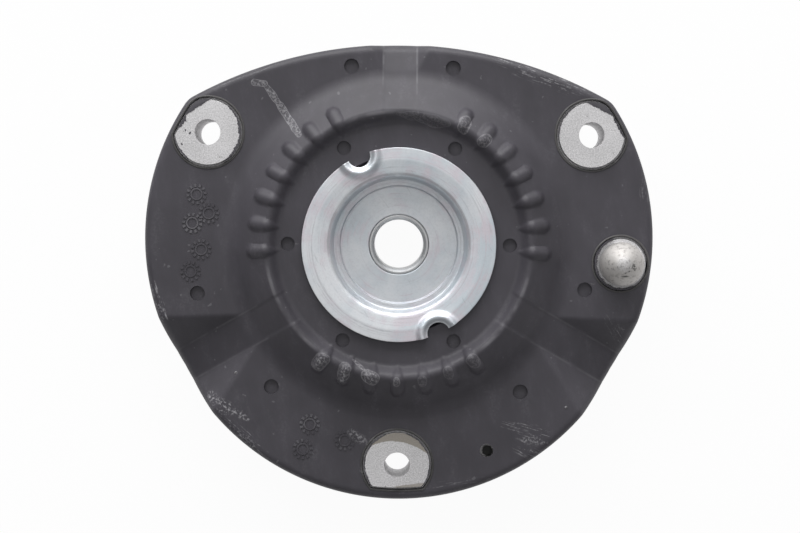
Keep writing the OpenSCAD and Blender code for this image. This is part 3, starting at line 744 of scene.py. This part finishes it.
@dataclass(frozen=True)
class CastFinish:
    """Grainy bare aluminium with pits, brown films of mould release on the lower pad, dark rubber smudges on
    the pin, painted shade in the gauge hole and a painted highlight on the pin's tip.
    """

    metal: tuple = (0.77, 0.76, 0.77, 1)
    shade: tuple = (0.47, 0.465, 0.47, 1)
    pit: tuple = (0.10, 0.095, 0.095, 1)
    film: tuple = (0.20, 0.175, 0.14, 1)
    warm: tuple = (0.56, 0.54, 0.52, 1)
    hole_shade_and_smudge: tuple = (0.03, 0.03, 0.027, 1)
    gauge_at: Point = (29.79, -68.50)

    def build(self, form: MouldForm) -> Finish:
        """Returns the material, with its films on the lower pad of the given form."""
        s = Shader("cast_aluminium_skin")
        x, y, z = s.axes()
        cloud = s.noise(70.0, 4.0, 0.6)
        grain = s.noise(2300.0, 4.0, 0.75)
        coarse = s.noise(900.0, 3.0, 0.6)
        rag = s.noise(420.0, 4.0, 0.65)
        hx, hy = (float(v) for v in form.bolt(form.bolt_angles[2]))
        px, py = x - hx, y - hy
        above = (py + (px + 1.5) * (px + 1.5) * 0.03 + rag * 1.2).step(8.4, 8.7)
        below = (px * 0.13 - py + rag * 0.8).step(7.2, 7.5) * px.step(-1.6, 0.4)
        film = above.most(below * 0.85) * (y * -1.0).step(55.0, 56.0) * z.step(-0.6, -0.3)
        # Painted shade: a dark disc at the bottom of the gauge hole, set off centre so that a crescent of
        # bare metal shows at its upper left.
        gx, gy = x - (self.gauge_at[0] + 0.45), y - (self.gauge_at[1] - 0.55)
        deep = (1.0 - (gx.hypot(gy) + rag * 1.4).step(2.2, 2.7)) * (1.0 - z.step(-2.7, -2.4))
        kx, ky = x - form.pin_at[0], y - form.pin_at[1]
        tip = kx.hypot(ky)
        pin = (1.0 - tip.step(7.4, 7.6)) * z.step(0.7, 1.0)
        smudge = (1.0 - (tip - 3.4).math("ABSOLUTE").step(0.5, 1.1)) * (kx * 0.77 - ky * 0.64).step(1.4, 2.4)
        smudge = smudge * pin * rag.step(0.47, 0.54)
        pits = s.noise(330.0, 2.0, 0.5).step(0.70, 0.74) * coarse.step(0.4, 0.6)
        base = s.mix(self.shade, self.metal, (grain * 0.9 + cloud * 0.2).step(0.38, 0.70))
        base = s.mix(base, self.pit, pits * 0.55)
        base = s.mix(base, self.film, film * 0.85)
        # The pin takes the warm tone except near its tip, which stays bright metal as a painted highlight.
        base = s.mix(base, self.warm, pin * (1.0 - z.step(9.8, 10.9) * 0.7) * (coarse * 0.4 + 0.6))
        base = s.mix(base, self.pit, pin * coarse.step(0.52, 0.68) * 0.4)
        # The gauge hole's painted shade and the pin's dark rubber smudges share one dark colour.
        base = s.mix(base, self.hole_shade_and_smudge, deep.most(smudge * 0.9))
        rough = 0.50 + grain * 0.18 + pin * 0.1
        metallic = (0.75 + pin * 0.2 - film * 0.6 - deep.most(smudge) * 0.9).most(0.0)
        normal = s.bump(grain * 0.7 + coarse * (0.6 + pin * 0.8) - pits * 0.8, 0.06, 0.6)
        return s.dress(Base_Color=base, Roughness=rough, Metallic=metallic, Normal=normal)


@dataclass(frozen=True)
class ZincFinish:
    """Bright zinc plating with faint drawn rings, cloudy tints, handling marks and painted shade towards the
    middle.
    """

    name: str = "zinc_plating"
    silver: tuple = (0.77, 0.785, 0.81, 1)
    blue: tuple = (0.54, 0.615, 0.67, 1)
    rose: tuple = (0.71, 0.635, 0.685, 1)
    rough: float = 0.42
    drawn: tuple = (0.40, 0.425, 0.45, 1)
    dull_and_shade: tuple = (0.42, 0.44, 0.46, 1)

    def build(self) -> Finish:
        """Returns the material."""
        s = Shader(self.name)
        x, y, _ = s.axes()
        r = x.hypot(y)
        cloud = s.noise(55.0, 4.0, 0.6)
        tint = s.noise(120.0, 3.0, 0.5)
        fine = s.noise(1500.0, 3.0, 0.65)
        bands = s.node("ShaderNodeCombineXYZ", {}, {0: r * 0.9, 1: cloud * 1.2, 2: tint})
        ring = s.noise(1.0, 4.0, 0.7, bands)
        scratch = s.noise(1100.0, 2.0, 0.6, s.stretched((1.0, 9.0, 1.0), 32.0)).step(0.66, 0.72)
        base = s.mix(self.silver, self.blue, cloud.step(0.35, 0.7) * 0.7)
        base = s.mix(base, self.rose, (tint * 0.5 + ring * 0.5).step(0.47, 0.62) * 0.75)
        base = s.mix(base, self.drawn, scratch * 0.3 + ring.step(0.52, 0.68) * 0.5)
        # Fine dull flecks, and painted shade that darkens everything within about 20.5 to 24 mm of the rod
        # axis: the cup's deep bottom and wall.
        base = s.mix(base, self.dull_and_shade, fine.step(0.46, 0.66) * 0.12 + (1.0 - r.step(20.5, 24.0)) * 0.28)
        rough = self.rough + cloud * 0.08 + fine * 0.06 + ring * 0.1
        normal = s.bump(ring * 0.9 + fine * 0.5, 0.025, 0.6)
        return s.dress(Base_Color=base, Roughness=rough, Metallic=0.95, Normal=normal)


@dataclass
class RubberBody:
    """The rubber moulding: skin, rim, ribbed crown and spring, with its openings and dimples."""

    form: MouldForm
    skin: float = 1.8
    rim_round: float = 2.6
    foot_round: float = 1.6
    rim_bottom: float = -17.0
    sleeve_r: float = 12.5
    steps: int = 600
    moat: float = 0.7
    lip_r: float = 0.4
    collar_r: float = 8.2
    plain_r: float = 56.0
    rim_band: float = 3.0
    crown_share: float = 1.27
    tool_top: float = 3.0
    groove_tool_top: float = 12.0
    groove_dimples: tuple[float, float] = (36.6, 4.7)
    lobe_dimples: tuple[Point, ...] = (
        (61.15, 105.3), (61.15, 73.3), (68.95, 194.1), (63.65, -13.3), (63.65, 228.6), (63.65, 309.9))
    lobe_dimple_d: float = 5.0
    dimple_depth: float = 1.3
    gauge_hole: Triple = (74.7, -66.5, 4.5)
    spring_top: tuple[Point, ...] = (
        (16.5, -4.6), (20.8, -4.5), (23.0, -3.6), (24.5, -2.25), (26.0, -0.2), (27.4, 1.8), (28.2, 2.8),
        (28.7, 3.25))
    inner_stops: tuple[float, ...] = (78, 70, 63, 58.5, 56, 52, 48, 45, 43.5, 42.4)
    spring_under: tuple[Point, ...] = (
        (41.2, 3.6), (40.2, 1.6), (38.6, -1.5), (28.5, -1.5), (27.5, -2.5), (27.5, -9.0), (28.5, -10.0),
        (36.0, -10.0), (46.0, -10.0), (46.0, -11.8), (42.0, -11.8), (38.4, -11.8), (37.4, -12.2),
        (35.6, -13.8), (34.6, -14.2), (30.0, -14.2), (26.5, -14.2), (24.0, -13.9), (20.0, -13.2),
        (16.0, -13.6))

    def rows(self) -> list[tuple[float, float, Row]]:
        """Returns the section's rows as (radius, height, what the row follows), in turn."""
        f, out = self.form, []
        rim, e, foot = f.section_r, self.rim_round, self.foot_round
        out += [(r, z, Row.FIXED) for r, z in ((self.sleeve_r, -4.5), *self.spring_top)]
        lobe = np.linspace(56.2, rim - e, 44)
        stops = np.concatenate([np.linspace(29.4, 37.2, 9), np.arange(37.7, self.plain_r, 0.44), lobe])
        out += [(float(r), f.lobe_z, Row.TOP) for r in stops]
        for a in np.radians(np.linspace(11.25, 90, 8)):
            out.append((rim - e + e * math.sin(a), f.lobe_z - e + e * math.cos(a), Row.EDGE))
        out += [(rim, float(z), Row.WALL) for z in np.linspace(f.lobe_z - e, self.rim_bottom + foot, 7)[1:]]
        for a in np.radians((30, 60, 90)):
            low = self.rim_bottom + foot - foot * math.sin(a)
            out.append((rim - foot + foot * math.cos(a), low, Row.FIXED))
        inner = rim - self.skin
        out += [(inner, self.rim_bottom, Row.FIXED), (inner, -10.0, Row.WALL), (inner, -6.0, Row.WALL)]
        out += [(r, f.lobe_z, Row.INNER) for r in (inner, *self.inner_stops)]
        ends = ((self.sleeve_r, -14.2), (self.sleeve_r, -9.5))
        out += [(r, z, Row.FIXED) for r, z in (*self.spring_under, *ends)]
        return out

    def press(self, obj: Piece, rows: Sequence[tuple[float, float, Row]]) -> None:
        """Presses the mould's outline and upper side into the spun body."""
        f = self.form
        at = Bench.read(obj) / MM
        r, angle = np.hypot(at[:, 0], at[:, 1]), np.arctan2(at[:, 1], at[:, 0])
        z = at[:, 2]
        keys = np.array([[a, b] for a, b, _ in rows])
        kinds = np.array([k.value for _, _, k in rows])
        which = np.empty(len(at), int)
        for start in range(0, len(at), 4000):
            part = slice(start, start + 4000)
            gap = (r[part, None] - keys[None, :, 0]) ** 2 + (z[part, None] - keys[None, :, 1]) ** 2
            which[part] = gap.argmin(1)
        kind = kinds[which]
        reach, plain, near = f.reach(angle), self.plain_r, self.rim_band
        stretch = plain + (r - plain) * (reach - near - plain) / (f.section_r - near - plain)
        r = np.where(r > f.section_r - near, reach - (f.section_r - r), np.where(r > plain, stretch, r))
        x, y = r * np.cos(angle), r * np.sin(angle)
        top = f.top(x, y)
        drop = f.lobe_z - z
        wall_top, wall_low = f.lobe_z - self.rim_round, self.rim_bottom + self.foot_round
        wall = wall_low + (z - wall_low) * (top - self.rim_round - wall_low) / (wall_top - wall_low)
        thick = self.skin * np.where((r > f.crest_r) & (r < plain), self.crown_share, 1.0)
        z = np.select(
            [kind == Row.TOP.value, kind == Row.EDGE.value, kind == Row.WALL.value, kind == Row.INNER.value],
            [top, top - drop, wall, top - thick - drop], z)
        Bench.write(obj, np.stack([x, y, z], -1) * MM)

    def round_tool(self, reach: float, bearing: float, d: float, low: float, high: float) -> Piece:
        """Returns a round cutting tool at a distance and bearing."""
        a = math.radians(bearing)
        return Bench.prism("tool", circle((reach * math.cos(a), reach * math.sin(a)), d / 2, 40), low, high)

    def tools(self) -> Piece:
        """Returns the joined cutting tool for pads, pin, dimples and the gauge hole."""
        f, parts = self.form, []
        through = f.lobe_z - 2 * self.skin
        for bearing in f.bolt_angles:
            parts.append(Bench.prism("tool", f.pad_plan(bearing, self.moat, 120), through, self.tool_top))
        pin_reach = math.hypot(*f.pin_at)
        pin_angle = math.degrees(math.atan2(f.pin_at[1], f.pin_at[0]))
        pin_d = 2 * (self.collar_r + self.moat)
        parts.append(self.round_tool(pin_reach, pin_angle, pin_d, through, self.tool_top))
        r, d = self.groove_dimples
        low = f.groove_z - self.dimple_depth
        for k in range(6):
            parts.append(self.round_tool(r, 60.0 * k, d, low, self.groove_tool_top))
        low = f.lobe_z - self.dimple_depth
        for reach, bearing in self.lobe_dimples:
            parts.append(self.round_tool(reach, bearing, self.lobe_dimple_d, low, self.tool_top))
        parts.append(self.round_tool(*self.gauge_hole, through, self.tool_top))
        return Bench.join(parts, "rubber_tools")

    def lip(self, name: str, plan: np.ndarray) -> Piece:
        """Returns a raised rubber lip that runs round a plan."""
        Bench.clear()
        bpy.ops.curve.primitive_bezier_circle_add(radius=MM)
        ring = bpy.context.object
        ring.data.splines.clear()
        line = ring.data.splines.new("POLY")
        line.points.add(len(plan) - 1)
        for point, (px, py) in zip(line.points, plan):
            point.co = (px * MM, py * MM, (self.form.lobe_z - 0.05) * MM, 1)
        line.use_cyclic_u = True
        ring.data.bevel_depth = self.lip_r * MM
        ring.data.bevel_resolution = 3
        bpy.ops.object.convert(target="MESH")
        obj = Bench.take(name)
        Bench.mend(obj)
        return obj

    def build(self, finish: Finish, pale: Finish) -> None:
        """Builds and dresses the moulding, and its lips in a paler finish that paints their highlight."""
        rows = self.rows()
        body = Bench.spin("rubber_moulding", [(r, z) for r, z, _ in rows], self.steps)
        self.press(body, rows)
        Bench.mend(body)
        Bench.cut(body, self.tools())
        Bench.smooth(body, 40.0)
        Bench.finish(body, finish, Slot.RUBBER, "rubber_body")
        grow = self.moat + self.lip_r
        plans = {
            f"pad_lip_{k + 1}": self.form.pad_plan(bearing, grow, 160)
            for k, bearing in enumerate(self.form.bolt_angles)}
        plans["pin_lip"] = circle(self.form.pin_at, self.collar_r + grow, 96)
        for name, plan in plans.items():
            lip = self.lip(name, plan)
            Bench.smooth(lip, 60.0)
            Bench.finish(lip, pale, Slot.RUBBER)


@dataclass
class MouldFlash:
    """Ragged rubber flash on the pads' edges and the pin's collar, specks on a pad and two nubs."""

    form: MouldForm
    low: float = -0.6
    crescent_top: float = 0.07
    chord_top: float = 0.09
    overlap: float = 0.2
    collar_in: float = 8.5
    collar_out: float = 8.75
    chords: tuple[tuple[float, Point, Point], ...] = (
        (150.0, (-63.4, 47.2), (-70.4, 42.6)), (30.0, (62.4, 47.2), (70.2, 43.2)))
    crescents: tuple[tuple[float, float, float, float], ...] = (
        (150.0, -62.0, 52.0, 0.9), (150.0, 140.0, 178.0, 1.3), (150.0, 196.0, 236.0, 0.6),
        (30.0, -4.0, 40.0, 0.9), (30.0, 120.0, 190.0, 0.5), (30.0, 250.0, 290.0, 0.4),
        (270.0, 20.0, 75.0, 0.5), (270.0, 110.0, 160.0, 0.5), (270.0, 165.0, 220.0, 0.6),
        (270.0, -40.0, 14.0, 0.5))
    specks: tuple[Triple, ...] = (
        (-71.0, 37.3, 0.3), (-69.5, 36.4, 0.38), (-72.2, 32.7, 0.34), (-71.6, 37.0, 0.14))
    nubs: tuple[Point, ...] = ((-54.0, -43.2), (56.1, -53.8))
    nub_r: float = 0.45

    @staticmethod
    def ragged(turn: np.ndarray, seed: float) -> np.ndarray:
        """Returns an uneven wave between about -1 and 1 along angles in radians."""
        waves = ((9, 0.4), (23, 0.3), (47, 0.3), (83, 0.2))
        return sum(size * np.sin(k * turn + seed * k) for k, size in waves)

    def crescent(self, bearing: float, start: float, end: float, width: float) -> Piece:
        """Returns flash over part of a pad's edge, between two bearings round its hole in degrees."""
        hole = self.form.bolt(bearing)
        at = np.round(np.linspace(start, end, 90) * 2).astype(int)
        edge = self.form.pad_plan(bearing, self.overlap, 720)[at % 720]
        swell = np.sin(np.linspace(0, math.pi, 90)) ** 0.5
        depth = width * swell * (0.75 + 0.45 * self.ragged(np.radians(at / 2), bearing + start))
        out = (edge - hole) / np.linalg.norm(edge - hole, axis=1)[:, None]
        inner = edge - out * np.clip(depth, 0.12, None)[:, None]
        return Bench.prism("flash", np.concatenate([edge, inner[::-1]]), self.low, self.crescent_top)

    def chord(self, bearing: float, first: Point, last: Point) -> Piece:
        """Returns flash over the side of a pad that lies beyond a line between two places."""
        a, b = np.array(first), np.array(last)
        along = (b - a) / np.linalg.norm(b - a)
        out = np.array([-along[1], along[0]])
        if (self.form.bolt(bearing) - a) @ out > 0:
            out = -out
        edge = self.form.pad_plan(bearing, self.overlap, 360)
        beyond = (edge - a) @ out > 0
        edge = np.roll(edge, -int(np.argmax(beyond & ~np.roll(beyond, 1))), axis=0)[:int(beyond.sum())]
        share = np.linspace(0, 1, 40)
        line = edge[-1] + (edge[0] - edge[-1]) * share[:, None]
        line += out * (0.28 * self.ragged(share * 2, bearing) * np.sin(share * math.pi))[:, None]
        return Bench.prism("flash", np.concatenate([edge, line[1:-1]]), self.low, self.chord_top)

    def collar(self) -> Piece:
        """Returns the torn flash on the pin's collar, on the side of the rod axis."""
        turn = np.radians(np.linspace(108, 300, 260))
        ray = np.stack([np.cos(turn), np.sin(turn)], -1)
        swell = np.sin(np.linspace(0, math.pi, 260)) ** 0.6
        inner = self.collar_in - swell * (0.45 + 0.5 * self.ragged(turn * 1.7, 2.0))
        outer = self.collar_out + 0.12 * self.ragged(turn, 5.0)
        edge = ray * np.minimum(inner, self.collar_in)[:, None]
        plan = np.array(self.form.pin_at) + np.concatenate([ray * outer[:, None], edge[::-1]])
        return Bench.prism("flash", plan, -1.4, 0.68)

    def build(self, finish: Finish, pale: Finish) -> None:
        """Builds and dresses the flash and the specks, and the nubs in a paler finish that paints their
        highlight.
        """
        parts = [self.chord(*chord) for chord in self.chords] + [self.crescent(*c) for c in self.crescents]
        parts.append(self.collar())
        turn = np.linspace(0, 2 * math.pi, 14, endpoint=False)
        for px, py, size in self.specks:
            wobble = size * (1 + 0.25 * np.sin(2 * turn + px) + 0.15 * np.sin(3 * turn + py))
            plan = list(zip(px + wobble * np.cos(turn), py + wobble * np.sin(turn)))
            parts.append(Bench.prism("speck", plan, -0.05, 0.04))
        flash = Bench.join(parts, "mould_flash")
        Bench.finish(flash, finish, Slot.RUBBER)
        for k, (px, py) in enumerate(self.nubs):
            Bench.clear()
            bpy.ops.mesh.primitive_uv_sphere_add(segments=24, ring_count=12, radius=self.nub_r * MM)
            nub = Bench.take(f"mould_nub_{k + 1}")
            base = float(self.form.top(np.array([px]), np.array([py]))[0])
            Bench.write(nub, Bench.read(nub) * np.array([1, 1, 0.6]) + np.array([px, py, base]) * MM)
            Bench.smooth(nub, 60.0)
            Bench.finish(nub, pale, Slot.RUBBER)


@dataclass
class MouldDials:
    """Small ring marks with ticks that the mould's date inserts leave on the lobes, without figures."""

    form: MouldForm
    ring_r: float = 2.0
    ring_w: float = 0.45
    tick_from: float = 2.4
    tick_to: float = 3.4
    tick_w: float = 0.6
    high: float = 0.3
    ticks: int = 12
    places: tuple[Triple, ...] = (
        (-67.3, 16.2, 8.0), (-63.2, 9.9, 30.0), (-68.7, 6.6, 52.0), (-65.7, -2.1, 14.0), (-69.2, -9.4, 40.0),
        (-29.2, -60.1, 20.0), (-31.5, -68.4, 4.0), (-17.5, -65.4, 33.0))

    def build(self, finish: Finish) -> None:
        """Builds one dial, copies it to its places and dresses the copies."""
        outer = Bench.prism("dial", circle((0, 0), self.ring_r, 40), 0, self.high)
        hole = Bench.prism("hole", circle((0, 0), self.ring_r - self.ring_w, 40), -1, 1)
        Bench.cut(outer, hole)
        parts = [outer]
        for k in range(self.ticks):
            a = 2 * math.pi * k / self.ticks
            c, s = math.cos(a), math.sin(a)
            w = self.tick_w / 2
            wide = w * 1.5
            flat = ((self.tick_from, -w), (self.tick_to, -wide), (self.tick_to, wide), (self.tick_from, w))
            parts.append(Bench.prism("tick", [(u * c - v * s, u * s + v * c) for u, v in flat], 0, self.high))
        dial = Bench.join(parts, "mould_dial")
        shape = Bench.read(dial)
        for k, (px, py, turn_by) in enumerate(self.places):
            copy = dial if k == 0 else bpy.data.objects.new("mould_dial", dial.data.copy())
            if k:
                bpy.context.scene.collection.objects.link(copy)
            copy.name = f"mould_dial_{k + 1}"
            a = math.radians(turn_by)
            base = float(self.form.top(np.array([px]), np.array([py]))[0]) - 0.02
            at = np.stack([
                shape[:, 0] * math.cos(a) - shape[:, 1] * math.sin(a) + px * MM,
                shape[:, 0] * math.sin(a) + shape[:, 1] * math.cos(a) + py * MM,
                shape[:, 2] + base * MM], -1)
            Bench.write(copy, at)
            Bench.finish(copy, finish, Slot.RUBBER)


@dataclass
class UpperCup:
    """The pressed cup with its rolled wall, stepped bottom and two beaded notches."""

    rim_r: float = 32.0
    notch_r: float = 3.75
    notch_angle: float = 114.7
    bead_crest: float = 5.7
    bead_half_w: float = 2.1
    bead_h: float = 1.6
    corners: tuple[Triple, ...] = (
        (32.0, 7.0, 0.2), (28.0, 7.0, 6.0), (22.5, 6.4, 2.0), (21.6, 0.5, 0.4), (19.7, 0.5, 0.12),
        (19.3, -1.0, 0.15), (10.0, -1.0, 0.25), (10.0, -3.0, 0.25), (20.2, -3.0, 0.6), (20.7, -1.5, 0.4),
        (23.2, -1.5, 1.5), (25.2, 5.0, 2.0), (32.0, 5.0, 0.5))

    def build(self, finish: Finish) -> None:
        """Builds and dresses the cup."""
        cup = Bench.spin("pressed_cup", rounded(self.corners, 0.45, 8), 360)
        at = Bench.read(cup) / MM
        lift = np.zeros(len(at))
        tools = []
        for turn in (0.0, 180.0):
            a = math.radians(self.notch_angle + turn)
            centre = self.rim_r * np.array([math.cos(a), math.sin(a)])
            far = np.hypot(at[:, 0] - centre[0], at[:, 1] - centre[1])
            wave = np.clip(np.abs(far - self.bead_crest) / self.bead_half_w, 0, 1)
            lift = np.maximum(lift, self.bead_h * np.cos(wave * math.pi / 2) ** 2)
            tools.append(Bench.prism("tool", circle(centre, self.notch_r, 64), 2.0, 12.0))
        at[:, 2] += lift
        Bench.write(cup, at * MM)
        Bench.cut(cup, Bench.join(tools, "notch_tools"))
        Bench.smooth(cup, 45.0)
        Bench.finish(cup, finish, Slot.ZINC, "upper_cup")


@dataclass
class Casting:
    """The aluminium casting, with its edges softened and the pin's nose worn to a blunt bullet."""

    form: MouldForm
    edge: float = 0.35
    pin_r: float = 7.5
    nose_z: float = 5.0
    nose: tuple[Point, ...] = (
        (0.0, 4.2), (7.1, 4.2), (7.2, 4.6), (7.12, 5.1), (6.85, 5.8), (6.4, 6.6), (5.8, 7.45), (5.0, 8.35),
        (4.1, 9.2), (3.1, 9.95), (2.2, 10.5), (1.5, 10.82), (0.8, 10.97), (0.0, 11.0))

    def build(self, finish: Finish) -> None:
        """Builds and dresses the casting and the pin's nose."""
        body = Bench.copy_node("carrier", "cast_carrier")
        at = Bench.read(body) / MM
        px, py = self.form.pin_at
        on_pin = np.hypot(at[:, 0] - px, at[:, 1] - py) < self.pin_r
        at[:, 2] = np.where(on_pin, np.minimum(at[:, 2], self.nose_z), at[:, 2])
        Bench.write(body, at * MM)
        Bench.soften(body, self.edge, 35.0, 2)
        Bench.smooth(body, 35.0)
        Bench.level(body)
        Bench.finish(body, finish, Slot.CAST, "carrier")
        nose = Bench.spin("pin_nose", self.nose, 96)
        Bench.write(nose, Bench.read(nose) + np.array([px, py, 0.0]) * MM)
        Bench.smooth(nose, 50.0)
        Bench.finish(nose, finish, Slot.CAST)


@dataclass
class CoreMetal:
    """The turned sleeve and the stop plate below the rubber spring."""

    sleeve: tuple[Triple, ...] = (
        (8.25, -20.1, 0.2), (9.15, -21.0, 0.1), (9.85, -21.0, 0.2), (9.85, -17.0, 0.0), (12.5, -17.0, 0.2),
        (12.5, -3.0, 0.2), (9.85, -3.0, 0.0), (9.85, -1.2, 0.2), (9.15, -1.2, 0.1), (8.25, -2.1, 0.2))
    plate: tuple[Triple, ...] = (
        (9.85, -17.0, 0.2), (31.5, -17.0, 1.6), (34.0, -18.5, 0.6), (34.0, -21.5, 0.6), (31.5, -20.0, 1.0),
        (9.85, -20.0, 0.3))

    def build(self, sleeve_finish: Finish, plate_finish: Finish) -> None:
        """Builds and dresses the sleeve and the plate."""
        sleeve = Bench.spin("rod_sleeve", rounded(self.sleeve, 2.5, 4), 192)
        Bench.smooth(sleeve, 35.0)
        Bench.finish(sleeve, sleeve_finish, Slot.SLEEVE, "inner_sleeve")
        plate = Bench.spin("stop_plate", rounded(self.plate, 4.0, 5), 240)
        Bench.smooth(plate, 35.0)
        Bench.finish(plate, plate_finish, Slot.PLATE, "lower_plate")


@dataclass
class Studio:
    """White floor, soft light from the flattened side and a camera above."""

    eye: Triple = (0.0003, 0.0114, 0.65)
    target: Triple = (0.0003, -0.0073, 0.0)
    lens: float = 88.15
    roll: float = 0.46
    floor_z: float = -0.0302
    world_light: float = 0.27

    def floor(self) -> None:
        """Lays the floor, white to the camera and to reflections."""
        Bench.clear()
        bpy.ops.mesh.primitive_plane_add(size=6.0, location=(0, 0, self.floor_z))
        obj = Bench.take("studio_floor")
        s = Shader("white_floor")
        plain = s.skin
        s.plug(plain.inputs["Base Color"], (0.86, 0.86, 0.87, 1))
        s.plug(plain.inputs["Roughness"], 0.9)
        path = s.node("ShaderNodeLightPath", {}, {}, "Is Camera Ray")
        outs = path.socket.node.outputs
        seen = path.most(Sock(s, outs["Is Glossy Ray"])).most(Sock(s, outs["Is Transmission Ray"]))
        glow = s.node("ShaderNodeEmission", {}, {"Color": (1, 1, 1, 1), "Strength": 1.0})
        both = s.node("ShaderNodeMixShader", {}, {0: seen * 0.95, 1: Sock(s, plain.outputs[0]), 2: glow})
        s.tree.links.new(both.socket, s.out.inputs[0])
        obj.data.materials.append(s.material)

    def lamp(self, name: str, place: Sequence[float], size: Point, power: float) -> None:
        """Hangs a soft rectangular lamp that faces the object."""
        bpy.ops.object.light_add(type="AREA", location=place)
        lamp = bpy.context.object
        lamp.name = name
        lamp.data.shape = "RECTANGLE"
        lamp.data.size, lamp.data.size_y = size
        lamp.data.energy = power
        lamp.rotation_euler = (Vector((0, 0, 0)) - Vector(place)).to_track_quat("-Z", "Y").to_euler()

    def build(self) -> None:
        """Builds floor, lights, world and camera."""
        self.floor()
        self.lamp("key_lamp", (-0.16, 1.10, 0.48), (1.8, 0.8), 24.0)
        self.lamp("overhead_panel", (-0.1, 0.40, 1.3), (1.5, 1.2), 3.8)
        self.lamp("fill_panel", (0.1, -0.95, 0.75), (1.0, 0.8), 0.8)
        self.lamp("side_panel", (1.0, 0.1, 0.6), (0.8, 0.8), 1.0)
        world = bpy.data.worlds.new("studio_world")
        bpy.context.scene.world = world
        world.use_nodes = True
        world.node_tree.nodes["Background"].inputs[0].default_value = (1, 1, 1, 1)
        world.node_tree.nodes["Background"].inputs[1].default_value = self.world_light
        bpy.ops.object.camera_add(location=self.eye)
        camera = bpy.context.object
        camera.name = "photo_camera"
        camera.data.lens = self.lens
        camera.data.sensor_width = 36.0
        camera.data.clip_start = 0.01
        tilt = math.atan2(self.target[1] - self.eye[1], self.eye[2] - self.target[2])
        camera.rotation_euler = (tilt, 0.0, math.radians(self.roll))
        bpy.context.scene.camera = camera
        bpy.context.scene.view_settings.view_transform = "Standard"


def main() -> None:
    """Builds the strut mount piece by piece and the studio round it."""
    logging.basicConfig(level=logging.INFO, format="%(name)s: %(message)s")
    form = MouldForm()
    rubber = RubberFinish().build()
    # A lighter copy of the rubber for the raised lips and nubs: their highlight is painted into its colour.
    pale = RubberFinish("rubber_lip", (0.036, 0.035, 0.036, 1), (0.086, 0.083, 0.082, 1)).build()
    RubberBody(form).build(rubber, pale)
    MouldFlash(form).build(rubber, pale)
    MouldDials(form).build(rubber)
    Casting(form).build(CastFinish().build(form))
    UpperCup().build(ZincFinish().build())
    steel = ZincFinish(
        "turned_steel", (0.60, 0.60, 0.60, 1), (0.54, 0.55, 0.56, 1), (0.60, 0.58, 0.57, 1), 0.34)
    plate = ZincFinish(
        "plate_zinc", (0.58, 0.59, 0.61, 1), (0.50, 0.53, 0.57, 1), (0.58, 0.56, 0.57, 1), 0.40)
    CoreMetal().build(steel.build(), plate.build())
    Studio().build()


if __name__ == "__main__":
    main()
